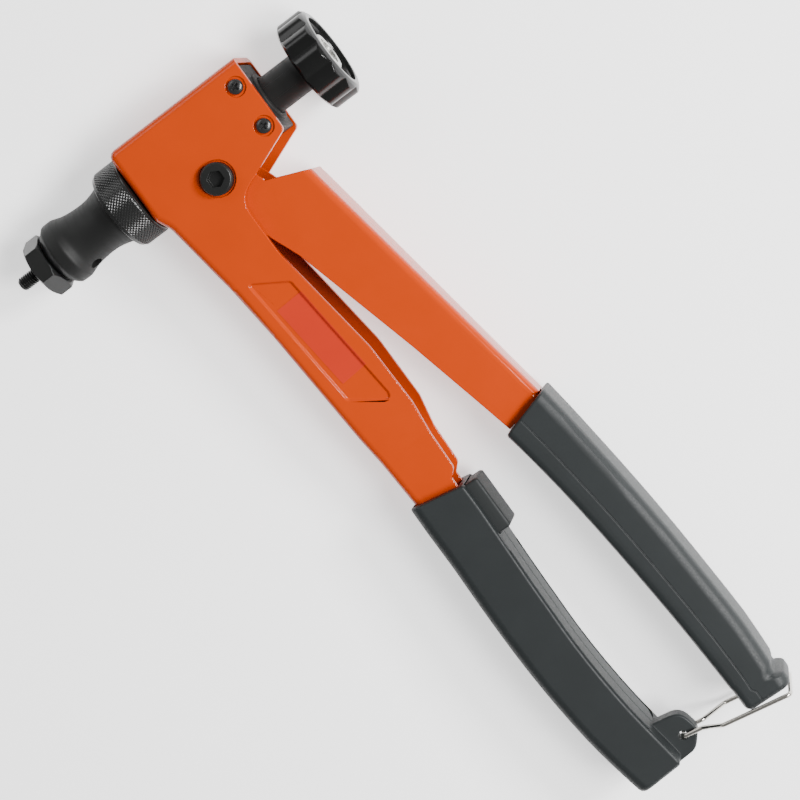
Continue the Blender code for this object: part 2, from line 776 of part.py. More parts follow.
def guide_screw(name, side, rise):
    """Pan head cross-recess screw, its head seated in the dimple of the plate."""
    seat = empty(f"{name}_place", root, (SCREW_X, rise, side * screw_floor),
                 (0 if side > 0 else math.pi, 0, 0))
    head = SCREW_HEAD / 2
    screw = turned(name, [
        (-SCREW_LENGTH, SCREW_THREAD / 2 - 0.5 * mm),
        (-SCREW_LENGTH + 0.5 * mm, SCREW_THREAD / 2),
        (0, SCREW_THREAD / 2),
        (0, head),
        (0.45 * SCREW_HEAD_HEIGHT, head),
        (0.80 * SCREW_HEAD_HEIGHT, 0.86 * head),
        (SCREW_HEAD_HEIGHT, 0.5 * head),
    ], parent=seat, sides=16)
    arm = 0.36 * mm
    for turn, name_end in ((0, "a"), (90, "b")):
        cross = block(f"{name}_cross_{name_end}", (-0.52 * head, -arm, 0.45 * SCREW_HEAD_HEIGHT),
                      (0.52 * head, arm, SCREW_HEAD_HEIGHT + 1 * mm), parent=seat, collection=guides)
        cross.rotation_euler = (0, 0, math.radians(turn + 28))
        cut(screw, cross)
    return finish(screw, "black_oxide")


for label, side in (("near", 1), ("far", -1)):
    for level, rise in SCREWS.items():
        guide_screw(f"guide_screw_{label}_{level}", side, rise)

# Pivot: bolt, nut, and the bush that the moving handle turns on
seat_z = half_head - PIVOT_SEAT_DEPTH + SEAT
nut_face = -seat_z
pivot_bolt = turned("pivot_bolt", [
    (nut_face - PIVOT_NUT_HEIGHT - 0.6 * mm, PIVOT_THREAD / 2 - 0.8 * mm),
    (nut_face - PIVOT_NUT_HEIGHT + 0.2 * mm, PIVOT_THREAD / 2),
    (seat_z, PIVOT_THREAD / 2),
    (seat_z, PIVOT_HEAD / 2),
    (seat_z + PIVOT_HEAD_HEIGHT - 0.7 * mm, PIVOT_HEAD / 2),
    (seat_z + PIVOT_HEAD_HEIGHT, PIVOT_HEAD / 2 - 0.7 * mm),
], parent=root)
cut(pivot_bolt, drum("pivot_socket", PIVOT_SOCKET / math.sqrt(3), seat_z + 1.2 * mm,
                     seat_z + PIVOT_HEAD_HEIGHT + 1 * mm, sides=6, collection=guides))
finish(pivot_bolt, "black_oxide")

pivot_nut = drum("pivot_nut", nut_corner, nut_face - PIVOT_NUT_HEIGHT, nut_face, sides=6)
combine(pivot_nut, turned("nut_chamfer", [
    (nut_face - PIVOT_NUT_HEIGHT - 0.5 * mm, nut_corner - 2.0 * mm),
    (nut_face - PIVOT_NUT_HEIGHT + 1.0 * mm, nut_corner + 0.2 * mm),
    (nut_face + 1 * mm, nut_corner + 0.2 * mm),
], parent=root, collection=guides), "INTERSECT")
cut(pivot_nut, drum("nut_bore", PIVOT_THREAD / 2 + SEAT, nut_face - PIVOT_NUT_HEIGHT - 1 * mm,
                    nut_face + 1 * mm, collection=guides))
finish(pivot_nut, "black_oxide")

bush_half = HEAD_INNER - SEAT
pivot_bush = turned("pivot_bush", [(-bush_half, PIVOT_BUSH / 2), (bush_half, PIVOT_BUSH / 2)],
                    [(-bush_half, PIVOT_THREAD / 2 + SEAT), (bush_half, PIVOT_THREAD / 2 + SEAT)],
                    parent=root, sides=24)
finish(pivot_bush, "bright_steel")


# Grips: sections between an outer and an inner line, with two grooves along the inner side


def grip_section(outer, inner, inner_round, crease, trim):
    """Points round one section; trim makes it smaller all round, for the rounded ends."""
    run = Vector(inner) - Vector(outer)
    along = run.normalized()
    start = Vector(outer) + along * trim
    length = run.length - 2 * trim
    half = GRIP_WIDTH / 2 - trim
    palm = GRIP_PALM_ROUND - trim
    edge = max(inner_round - trim, SEAT)
    side = arc((palm, half - palm), palm, 180, 90, 3)
    if crease:
        middle = length * (1 - crease)
        side += [(middle - PARTING, half), (middle, half - PARTING), (middle + PARTING, half)]
    side += arc((length - edge, half - edge), edge, 90, 0, 2)
    parting = [(length, PARTING), (length - PARTING, 0), (length, -PARTING)]
    line = side + parting + [(across, -height) for across, height in reversed(side)]
    return [(start.x + along.x * across, start.y + along.y * across, height) for across, height in line]


def grip(name, outer, inner, inner_round, crease, parent):
    """outer and inner hold matching points, from the grip's mouth to its end."""
    pairs = [(Vector(a), Vector(b)) for a, b in zip(outer, inner)]
    rings = []
    for end, beyond, radius in ((pairs[0], pairs[1], GRIP_MOUTH_ROUND), (pairs[-1], pairs[-2], GRIP_END_ROUND)):
        inward = ((beyond[0] - end[0]).normalized() + (beyond[1] - end[1]).normalized()).normalized()
        rounding = []
        for turn in (0, 30, 60, 90):
            t = math.radians(turn)
            step = inward * radius * (1 - math.cos(t))
            rounding.append(grip_section(end[0] + step, end[1] + step, inner_round, crease,
                                         radius * (1 - math.sin(t))))
        rings.append(rounding)
    middle = [grip_section(a, b, inner_round, crease, 0) for a, b in pairs[1:-1]]
    return loft(name, rings[0] + middle + rings[1][::-1], parent)


def grip_lines(mouth, end, stations):
    """Outer and inner points; stations lists (share of the way down, outer x, inner x)."""
    lines = []
    for side in (0, 1):
        top, foot = mouth[side][1], end[side][1]
        lines.append([(row[1 + side], top + (foot - top) * row[0]) for row in stations])
    return smooth(lines[0], 2), smooth(lines[1], 2)


def finger_grooves(item, inner, rib, inward, parent):
    """Two grooves beside a raised middle rib; inward is the sign that moves inner into the grip."""
    line = [tuple((Vector(inner[0]) + Vector(inner[1])) / 2)] + inner[1:-1]
    line.append(tuple((Vector(inner[-1]) + Vector(inner[-2])) / 2))
    inside = shifted(line, inward * GROOVE_DEPTH)
    outside = shifted(line, -inward * 4 * mm)
    for label, side in (("near", 1), ("far", -1)):
        low, high = sorted((side * rib / 2, side * (rib / 2 + GROOVE_WIDTH)))
        groove = plate(f"{item.name}_groove_{label}", inside + outside[::-1], low, high,
                       parent=parent, collection=guides)
        cut(item, groove)
    return item


fixed_mouth = ((-GRIP_OUT - 1.6 * mm, -GRIP_DROP + 0.6 * mm), (GRIP_IN, -GRIP_DROP - 3.4 * mm))
fixed_end = ((-9.0 * mm, -LUG_DROP - 8.9 * mm), (11.7 * mm, -LUG_DROP - 7.1 * mm))
fixed_outer, fixed_inner = grip_lines(fixed_mouth, fixed_end, [
    (0.00, fixed_mouth[0][0], fixed_mouth[1][0]),
    (0.08, -17.1 * mm, 6.7 * mm),
    (0.20, -17.0 * mm, 6.2 * mm),
    (0.32, -17.4 * mm, 5.7 * mm),
    (0.44, -17.5 * mm, 5.4 * mm),
    (0.55, -17.2 * mm, 5.3 * mm),
    (0.67, -16.2 * mm, 6.0 * mm),
    (0.79, -14.5 * mm, 7.5 * mm),
    (0.89, -12.2 * mm, 9.4 * mm),
    (1.00, fixed_end[0][0], fixed_end[1][0]),
])
fixed_grip = grip("fixed_grip", fixed_outer, fixed_inner, FIXED_INNER_ROUND, 0, root)
finger_grooves(fixed_grip, fixed_inner[4:17], FIXED_RIB, -1, root)

# Lug at the grip's end, drilled for the bail
lug_top = (9.0 * mm, -LUG_DROP + 10.5 * mm)
lug = plate("lug", fillet([
    (0, -LUG_DROP + 8 * mm),
    lug_top,
    (LUG_X + 4.4 * mm, -LUG_DROP + 8.6 * mm, 6 * mm),
    (LUG_X + 6.6 * mm, -LUG_DROP - 1.0 * mm, 5 * mm),
    (LUG_X + 1.0 * mm, -LUG_DROP - 7.4 * mm, 6 * mm),
    (6.0 * mm, -LUG_DROP - 8.4 * mm),
    (0, -LUG_DROP - 6 * mm),
]), -LUG_THICKNESS / 2, LUG_THICKNESS / 2, collection=guides)
rounded(lug, 0.8 * mm, 2)
join(fixed_grip, lug)
cut(fixed_grip, drum("lug_hole", LUG_HOLE / 2, -LUG_THICKNESS, LUG_THICKNESS,
                     place=(LUG_X, -LUG_DROP), sides=24, collection=guides))


def tang_pocket(name, outline, width, parent):
    half = width / 2 + SEAT
    return plate(name, outline, -half, half, parent=parent, collection=guides)


cut(fixed_grip, tang_pocket("fixed_tang_pocket", [
    (-TANG_OUT - SEAT, -GRIP_DROP + 6 * mm), (-TANG_OUT - SEAT, -TANG_END - SEAT),
    (TANG_IN + SEAT, -TANG_END - SEAT), (TANG_IN + SEAT, -GRIP_DROP + 6 * mm)],
    TANG_WIDTH, root))

# Rubber stop let into the inner side of the fixed grip
stop_top = -GRIP_DROP - 4.0 * mm
stop_floor = GRIP_IN - 0.1 * mm - STOP_SUNK
stop_face = GRIP_IN - 0.1 * mm + STOP_PROUD
handle_stop = block("handle_stop", (stop_floor, stop_top - STOP_LENGTH, -STOP_WIDTH / 2),
                    (stop_face, stop_top, STOP_WIDTH / 2))
rounded(handle_stop, 1.2 * mm, 2)
finish(handle_stop, "black_rubber")
cut(fixed_grip, block("stop_pocket",
                      (stop_floor - SEAT, stop_top - STOP_LENGTH - SEAT, -STOP_WIDTH / 2 - SEAT),
                      (stop_face, stop_top + SEAT, STOP_WIDTH / 2 + SEAT), collection=guides))
finish(fixed_grip, "slate_grip")

# Moving handle: a folded channel, open towards the fixed one, with a forked lobe in each plate

lobe_up = Vector((math.sin(math.radians(LOBE_TILT)), math.cos(math.radians(LOBE_TILT))))
lobe_side = Vector((lobe_up.y, -lobe_up.x))


def on_lobe(along, across):
    return tuple(lobe_up * along + lobe_side * across)


lean = math.tan(math.radians(HANDLE_LEAN))
back_x = HANDLE_BACK + (HANDLE_GRIP_DROP - HANDLE_BACK_DROP) * lean
tang_run = Vector((3.6, -34.0)).normalized()


def handle_end(x):
    """The slanting line that the moving handle ends on, above its grip."""
    return (x, -HANDLE_GRIP_DROP - (back_x - x) * math.tan(math.radians(HANDLE_GRIP_SLOPE)))


def along_tang(point, distance):
    return (point[0] + tang_run.x * distance, point[1] + tang_run.y * distance)


back_end = handle_end(back_x)
front_end = handle_end(back_x - HANDLE_DEPTH)
back_step = handle_end(back_x - 1.0 * mm)
front_step = handle_end(back_step[0] - HANDLE_TANG_DEPTH)
back_tang = along_tang(back_step, TANG_LENGTH)
front_tang = along_tang(front_step, TANG_LENGTH)

handle_back = [back_tang, back_step, back_end, (HANDLE_BACK, -HANDLE_BACK_DROP)]
handle_front = fillet([
    (13.6 * mm, -10.2 * mm, 8 * mm),
    on_lobe(4 * mm, LOBE_WIDTH / 2 + 0.8 * mm),
    (*on_lobe(LOBE_LENGTH, LOBE_WIDTH / 2), 3.5 * mm),
    (*on_lobe(LOBE_LENGTH, -LOBE_WIDTH / 2), 3.5 * mm),
    on_lobe(4 * mm, -LOBE_WIDTH / 2 - 0.8 * mm),
    (-HUB_RADIUS, -4 * mm, 8 * mm),
    (-7.0 * mm, -HUB_RADIUS, 6 * mm),
    (1.6 * mm, -28 * mm, 14 * mm),
    (7.4 * mm, -42 * mm, 20 * mm),
    (21.8 * mm, -96 * mm, 60 * mm),
    front_end,
    front_step,
    front_tang,
])
HANDLE_WIDTHS = [(30 * mm, HANDLE_WIDTH), (HANDLE_GRIP_DROP - 8 * mm, HANDLE_TANG_WIDTH)]



def handle_closed(line):
    """Keep the top corner on the slanting top edge."""
    corner = meet(line[-2], line[-1], handle_back[-1], handle_front[0])
    return line[:-1] + [corner] + handle_front


def handle_opened(line):
    """Run the hollow out of the tang's end, the top and the inner side."""
    top = (line[-1][0] - lean * PAST, line[-1][1] + PAST)
    return ([along_tang(line[0], PAST)] + line[1:-1]
            + [top, (-2 * PAST, 2 * PAST), (-2 * PAST, -HANDLE_GRIP_DROP - 4 * PAST)])


moving_handle = folded("moving_handle", handle_back, handle_closed, 0, HANDLE_BEND, parent=handle)
follow_width(moving_handle, HANDLE_WIDTHS)
handle_hollow = folded("handle_hollow", handle_back, handle_opened, SHEET, HANDLE_BEND - SHEET,
                       parent=handle, collection=guides)
follow_width(handle_hollow, HANDLE_WIDTHS)
cut(moving_handle, handle_hollow)
cut(moving_handle, drum("hub_bore", PIVOT_BUSH / 2 + RUN, -half_head, half_head,
                        parent=handle, collection=guides))
slot_half = TRUNNION / 2 + RUN + 0.05 * mm
slot_low = SPINDLE_RISE - 0.2 * mm
slot = plate("fork_slot", [on_lobe(LOBE_LENGTH + 5 * mm, slot_half), on_lobe(LOBE_LENGTH + 5 * mm, -slot_half)]
             + [on_lobe(slot_low + y, x) for x, y in arc((0, 0), slot_half, 180, 360, 10)],
             -half_head, half_head, parent=handle, collection=guides)
cut(moving_handle, slot)
finish(moving_handle, "orange_paint")

# Moving grip, ending in the lip that the bail hooks over
latch = Vector((math.cos(math.radians(BAIL_LATCHED)), math.sin(math.radians(BAIL_LATCHED))))
seat_point = Vector((LUG_X, -LUG_DROP)) + latch * BAIL_REACH
groove_x = seat_point.x - WIRE / 2 - SEAT
groove_half = WIRE / 2 + 0.7 * mm
lip_x = seat_point.x + LIP
groove_top = seat_point.y + groove_half
groove_foot = seat_point.y - groove_half
grip_back = handle_end(back_x + 2.4 * mm)
grip_front = handle_end(back_x - HANDLE_DEPTH - 2.1 * mm)
moving_mouth = ((grip_back[0], grip_back[1] - SEAT), (grip_front[0], grip_front[1] - SEAT))
neck_y = groove_top + 2.0 * mm
moving_outer, moving_inner = grip_lines(moving_mouth, ((0, neck_y), (0, neck_y)), [
    (0.00, moving_mouth[0][0], moving_mouth[1][0]),
    (0.09, 55.0 * mm, 33.2 * mm),
    (0.22, 57.0 * mm, 35.7 * mm),
    (0.38, 59.2 * mm, 38.1 * mm),
    (0.55, 61.0 * mm, 40.1 * mm),
    (0.72, 62.2 * mm, 41.8 * mm),
    (0.87, 63.0 * mm, 42.9 * mm),
    (1.00, groove_x + 1.2 * mm, 43.6 * mm),
])
groove_line = moving_inner[1:-1]
lip_line = [(groove_x + 0.5 * mm, groove_top), (groove_x, groove_top - 0.9 * mm),
            (groove_x, groove_foot + 0.9 * mm), (lip_x - 1.2 * mm, groove_foot),
            (lip_x, groove_foot - 1.0 * mm), (lip_x, groove_foot - 6.2 * mm)]
moving_outer += lip_line
moving_inner += [(43.9 * mm, y) for x, y in lip_line]
moving_grip = grip("moving_grip", moving_outer, moving_inner, MOVING_INNER_ROUND, CREASE_SHARE, handle)
finger_grooves(moving_grip, groove_line, MOVING_RIB, 1, handle)
side_step = Vector((-tang_run.y, tang_run.x)) * SEAT
pocket = [Vector(along_tang(back_step, -8 * mm)) + side_step,
          Vector(along_tang(back_tang, SEAT)) + side_step,
          Vector(along_tang(front_tang, SEAT)) - side_step,
          Vector(along_tang(front_step, -8 * mm)) - side_step]
pocket = [tuple(point) for point in pocket]
cut(moving_grip, tang_pocket("moving_tang_pocket", pocket, HANDLE_TANG_WIDTH, handle))
finish(moving_grip, "slate_grip")

# Pulled sleeve with the two trunnions that the fork drives
sleeve_front = TRUNNION_X - SLEEVE_FRONT
pull_sleeve = turned("pull_sleeve", [
    (sleeve_front, SLEEVE / 2 - 0.6 * mm),
    (sleeve_front + 0.6 * mm, SLEEVE / 2),
    (KNOB_FRONT - SEAT - 0.8 * mm, SLEEVE / 2),
    (KNOB_FRONT - SEAT, SLEEVE / 2 - 0.8 * mm),
], [
    (sleeve_front, SHAFT / 2 + RUN),
    (KNOB_FRONT - SEAT, SHAFT / 2 + RUN),
], parent=drawbar)
settled(pull_sleeve)
trunnion_end = HANDLE_WIDTH / 2 - 0.2 * mm
for label, side in (("near", 1), ("far", -1)):
    stub = drum(f"trunnion_{label}", TRUNNION / 2, *sorted((side * (SLEEVE / 2 - 1.5 * mm), side * trunnion_end)),
                parent=root, place=(TRUNNION_X, SPINDLE_RISE), sides=24, collection=guides)
    join(pull_sleeve, stub)
finish(pull_sleeve, "black_oxide")

# Turning spindle: shaft with its thrust collar, coupler, mandrel, knob and insert
collar_rear = sleeve_front - SEAT
drive_shaft = turned("drive_shaft", [
    (COUPLER_FRONT + COUPLER_LENGTH - 6 * mm, SHAFT / 2 - 1.2 * mm),
    (COUPLER_FRONT + COUPLER_LENGTH + SEAT, SHAFT / 2 - 1.2 * mm),
    (COUPLER_FRONT + COUPLER_LENGTH + SEAT, SHAFT / 2),
    (collar_rear - COLLAR_LENGTH, SHAFT / 2),
    (collar_rear - COLLAR_LENGTH, COLLAR / 2),
    (collar_rear, COLLAR / 2),
    (collar_rear, SHAFT / 2),
    (KNOB_REAR - KNOB_RECESS_DEPTH - 1.0 * mm, SHAFT / 2),
], parent=spindle, sides=24)
finish(drive_shaft, "bright_steel")

coupler = turned("mandrel_coupler", [
    (COUPLER_FRONT, NOSE_BORE / 2 - RUN - 0.8 * mm),
    (COUPLER_FRONT + 0.8 * mm, NOSE_BORE / 2 - RUN),
    (COUPLER_FRONT + COUPLER_LENGTH, NOSE_BORE / 2 - RUN),
], [
    (COUPLER_FRONT, MANDREL / 2 + SEAT),
    (COUPLER_FRONT + COUPLER_LENGTH, MANDREL / 2 + SEAT),
], parent=spindle, sides=20)
finish(coupler, "black_oxide")

mandrel_tip = HEX_FACE - MANDREL_OUT
mandrel = turned("mandrel", [
    (mandrel_tip, MANDREL / 2 - 0.8 * mm),
    (mandrel_tip + 0.8 * mm, MANDREL / 2),
    (COUPLER_FRONT + COUPLER_LENGTH - 6 * mm - SEAT, MANDREL / 2),
], parent=spindle, sides=24)
finish(mandrel, "black_oxide")


def lobed(radius, depth, count, steps):
    """A round outline with shallow round flutes."""
    line = []
    for i in range(count * steps):
        turn = 2 * math.pi * i / (count * steps)
        wave = 0.5 - 0.5 * math.cos(count * turn)
        line.append(((radius - depth * wave ** 2.2) * math.cos(turn),
                     (radius - depth * wave ** 2.2) * math.sin(turn)))
    return line


knob = plate("knob", lobed(KNOB_DIAMETER / 2, KNOB_FLUTE, KNOB_LOBES, 6), KNOB_FRONT, KNOB_REAR,
             parent=spindle)
crown = turned("knob_crown", [
    (KNOB_FRONT - 1 * mm, KNOB_DIAMETER / 2 - 3.4 * mm),
    (KNOB_FRONT + 1.6 * mm, KNOB_DIAMETER / 2 + 0.3 * mm),
    (KNOB_REAR - 2.4 * mm, KNOB_DIAMETER / 2 + 0.3 * mm),
    (KNOB_REAR - 0.9 * mm, KNOB_DIAMETER / 2 - 1.0 * mm),
    (KNOB_REAR + 0.5 * mm, KNOB_DIAMETER / 2 - 3.4 * mm),
], parent=spindle, collection=guides, sides=46)
combine(knob, crown, "INTERSECT")
cut(knob, turned("knob_recess", [
    (KNOB_REAR - KNOB_RECESS_DEPTH, KNOB_RECESS / 2 - 1.0 * mm),
    (KNOB_REAR - KNOB_RECESS_DEPTH + 1.0 * mm, KNOB_RECESS / 2),
    (KNOB_REAR + 1 * mm, KNOB_RECESS / 2),
], parent=spindle, collection=guides, sides=36))
insert_floor = KNOB_REAR - KNOB_RECESS_DEPTH - 7.0 * mm
cut(knob, turned("knob_socket", [(insert_floor, INSERT / 2 + SEAT),
                                 (KNOB_REAR + 1 * mm, INSERT / 2 + SEAT)],
                 parent=spindle, collection=guides))
cut(knob, turned("knob_bore", [(KNOB_FRONT - 1 * mm, SHAFT / 2 + SEAT), (KNOB_REAR, SHAFT / 2 + SEAT)],
                 parent=spindle, collection=guides, sides=32))
finish(knob, "black_plastic")

insert_face = KNOB_REAR - KNOB_RECESS_DEPTH + 1.4 * mm
knob_insert = plate("knob_insert", lobed(INSERT / 2, 0.9 * mm, INSERT_TEETH, 4),
                    insert_floor + SEAT, insert_face, parent=spindle)
cut(knob_insert, turned("insert_bore", [(insert_floor - 1 * mm, SHAFT / 2 + SEAT),
                                        (insert_face + 1 * mm, SHAFT / 2 + SEAT)],
                        parent=spindle, collection=guides, sides=32))
finish(knob_insert, "bright_steel")


# Wire bail: both ends turn into the lug's hole, the sides spread to pass the grip


def rounded_path(points, radius, steps=4):
    line = [Vector(points[0])]
    for before, here, after in zip(points, points[1:], points[2:]):
        here = Vector(here)
        back = (Vector(before) - here)
        ahead = (Vector(after) - here)
        half = back.angle(ahead) / 2
        reach_in = min(radius / math.tan(half), 0.45 * back.length, 0.45 * ahead.length)
        start = here + back.normalized() * reach_in
        end = here + ahead.normalized() * reach_in
        for i in range(steps + 1):
            t = i / steps
            line.append(start * (1 - t) ** 2 + here * 2 * t * (1 - t) + end * t ** 2)
    line.append(Vector(points[-1]))
    return line


side_z = BAIL_WIDTH / 2
neck_z = BAIL_NECK / 2
half_wire = [(0, 0, 0.7 * mm), (0, 0, neck_z), (8.6 * mm, 0, neck_z), (17.6 * mm, 0, side_z),
             (BAIL_REACH, 0, side_z)]
wire_points = half_wire + [(x, y, -z) for x, y, z in reversed(half_wire)]
path = rounded_path(wire_points, 2.2 * mm)
wire = bpy.data.curves.new("bail_wire", "CURVE")
wire.dimensions = "3D"
wire.bevel_depth = WIRE / 2
wire.bevel_resolution = 2
wire.use_fill_caps = True
strand = wire.splines.new("POLY")
strand.points.add(len(path) - 1)
for point, place in zip(strand.points, path):
    point.co = (*place, 1)
bail_wire = bpy.data.objects.new("bail_wire", wire)
bail_wire.parent = bail
parts.objects.link(bail_wire)
bail_wire = baked(bail_wire, parts)
finish(bail_wire, "nickel_wire")

# Put the origin at the bottom centre of the whole tool
bpy.context.view_layer.update()
graph = bpy.context.evaluated_depsgraph_get()
low = Vector((1, 1, 1))
high = Vector((-1, -1, -1))
for item in parts.objects:
    if item.type != "MESH":
        continue
    view = item.evaluated_get(graph)
    for vert in view.data.vertices:
        place = view.matrix_world @ vert.co
        low = Vector(map(min, low, place))
        high = Vector(map(max, high, place))
root.location = (-(low.x + high.x) / 2, -(low.y + high.y) / 2, -low.z)
for item in parts.objects:
    if item.type == "MESH":
        smooth_shaded(item)
bpy.context.view_layer.update()
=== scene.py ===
"""Looks for the rivet nut tool: surfaces, fine forms, floor, light and camera."""
import json
import math

import bmesh
import bpy
from mathutils import Matrix, Vector
from mathutils.bvhtree import BVHTree


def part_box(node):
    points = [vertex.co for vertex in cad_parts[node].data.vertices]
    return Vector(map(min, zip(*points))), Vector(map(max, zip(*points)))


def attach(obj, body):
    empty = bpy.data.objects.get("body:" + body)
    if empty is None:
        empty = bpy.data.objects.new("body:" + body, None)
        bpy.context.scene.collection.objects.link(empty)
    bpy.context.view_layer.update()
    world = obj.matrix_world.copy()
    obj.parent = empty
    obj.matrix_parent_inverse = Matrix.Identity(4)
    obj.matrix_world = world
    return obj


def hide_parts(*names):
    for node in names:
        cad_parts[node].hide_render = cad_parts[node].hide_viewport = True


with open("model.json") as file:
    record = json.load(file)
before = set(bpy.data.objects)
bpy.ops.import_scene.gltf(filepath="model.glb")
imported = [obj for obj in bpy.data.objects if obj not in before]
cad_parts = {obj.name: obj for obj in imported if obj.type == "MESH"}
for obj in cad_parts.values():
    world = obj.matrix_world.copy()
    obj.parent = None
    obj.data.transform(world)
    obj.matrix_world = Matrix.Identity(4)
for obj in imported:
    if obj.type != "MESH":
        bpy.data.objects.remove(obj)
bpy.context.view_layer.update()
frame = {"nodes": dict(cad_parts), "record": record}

mm = 0.001
scene = bpy.context.scene
behaviour = frame["record"]["behaviour"]
body_of = {node: body for body, nodes in behaviour["bodies"].items() for node in nodes}
joint_at = {joint["name"]: Vector(joint["pos_m"])
            for joint in behaviour["joints"] if "pos_m" in joint}
slot_of = {item["node"]: item["material_slot"] for item in frame["record"]["subparts"]}
PIVOT = joint_at["handle_hinge"]
SPINDLE = joint_at["spindle_turn"]


# Camera: where the photograph was taken from, about 0.9 m in front of the near plate

CAMERA_FROM_PIVOT = Vector((189.444, -77.006, 879.952)) * mm
CAMERA_AXES = Matrix(((0.794653, 0.570804, 0.206663),
                      (-0.589280, 0.807096, 0.036680),
                      (-0.145860, -0.150930, 0.977724)))
camera_data = bpy.data.cameras.new("camera")
camera_data.sensor_width = 36.0
camera_data.lens = 103.846
camera_data.clip_start = 0.02
camera = bpy.data.objects.new("camera", camera_data)
camera.matrix_world = Matrix.Translation(PIVOT + CAMERA_FROM_PIVOT) @ CAMERA_AXES.to_4x4()
scene.collection.objects.link(camera)
scene.camera = camera


# Node helpers


def material_nodes(name):
    item = bpy.data.materials.new(name)
    item.use_nodes = True
    nodes = item.node_tree.nodes
    return item, nodes, item.node_tree.links, nodes["Principled BSDF"]


def made(nodes, kind, **settings):
    """A node with its sockets and properties set by name."""
    node = nodes.new(kind)
    for key, setting in settings.items():
        if key in node.inputs:
            node.inputs[key].default_value = setting
        else:
            setattr(node, key, setting)
    return node


# Floor, world and soft light: a pale floor, a dim room, and two keys from the knob's side


def floor_material():
    item, nodes, links, shader = material_nodes("floor_paper")
    shader.inputs["Base Color"].default_value = (0.95, 0.95, 0.95, 1)
    shader.inputs["Roughness"].default_value = 0.95
    shader.inputs["Specular IOR Level"].default_value = 0.1
    shader.inputs["Emission Color"].default_value = (1, 1, 1, 1)
    shader.inputs["Emission Strength"].default_value = 1.0
    noise = made(nodes, "ShaderNodeTexNoise", Scale=400.0)
    bump = made(nodes, "ShaderNodeBump", Strength=0.05, Distance=0.0002)
    links.new(noise.outputs["Fac"], bump.inputs["Height"])
    links.new(bump.outputs["Normal"], shader.inputs["Normal"])
    return item


FLOOR_REACH = 3
FLOOR_DROP = 0.5 * mm
floor_mesh = bpy.data.meshes.new("floor")
floor_mesh.from_pydata([(x * FLOOR_REACH, y * FLOOR_REACH, 0)
                        for x, y in ((-1, -1), (1, -1), (1, 1), (-1, 1))], [], [(0, 1, 2, 3)])
floor = bpy.data.objects.new("floor", floor_mesh)
floor.location = (0, 0, -FLOOR_DROP)
floor_mesh.materials.append(floor_material())
scene.collection.objects.link(floor)


def studio_world():
    """A grey room that is lighter low down than overhead."""
    world = bpy.data.worlds.new("studio")
    world.use_nodes = True
    nodes, links = world.node_tree.nodes, world.node_tree.links
    place = nodes.new("ShaderNodeTexCoord")
    split = nodes.new("ShaderNodeSeparateXYZ")
    links.new(place.outputs["Generated"], split.inputs["Vector"])
    height = nodes.new("ShaderNodeValToRGB")
    height.color_ramp.elements[0].position = 0.10
    height.color_ramp.elements[0].color = (0.45, 0.45, 0.45, 1)
    height.color_ramp.elements[1].position = 0.82
    height.color_ramp.elements[1].color = (0.26, 0.26, 0.26, 1)
    links.new(split.outputs["Z"], height.inputs["Fac"])
    links.new(height.outputs["Color"], nodes["Background"].inputs["Color"])
    nodes["Background"].inputs["Strength"].default_value = 1.0
    return world


scene.world = studio_world()


def softbox(name, place, aim, size, power):
    light = bpy.data.lights.new(name, "AREA")
    light.shape = "RECTANGLE"
    light.size, light.size_y = size
    light.energy = power
    item = bpy.data.objects.new(name, light)
    item.rotation_euler = (Vector(aim) - Vector(place)).to_track_quat("-Z", "Y").to_euler()
    item.location = place
    scene.collection.objects.link(item)


softbox("key_from_knob_side", (1.08, -0.14, 0.84), (0, 0, 0), (0.34, 0.34), 24)
softbox("key_from_above", (0.72, -0.50, 1.20), (0, -0.04, 0), (0.5, 0.5), 27)
softbox("fill_from_top_edge", (-0.45, 1.25, 0.85), (0, 0.05, 0), (1.1, 0.5), 5)


# Surfaces


PATCH_SCALE = 60.0


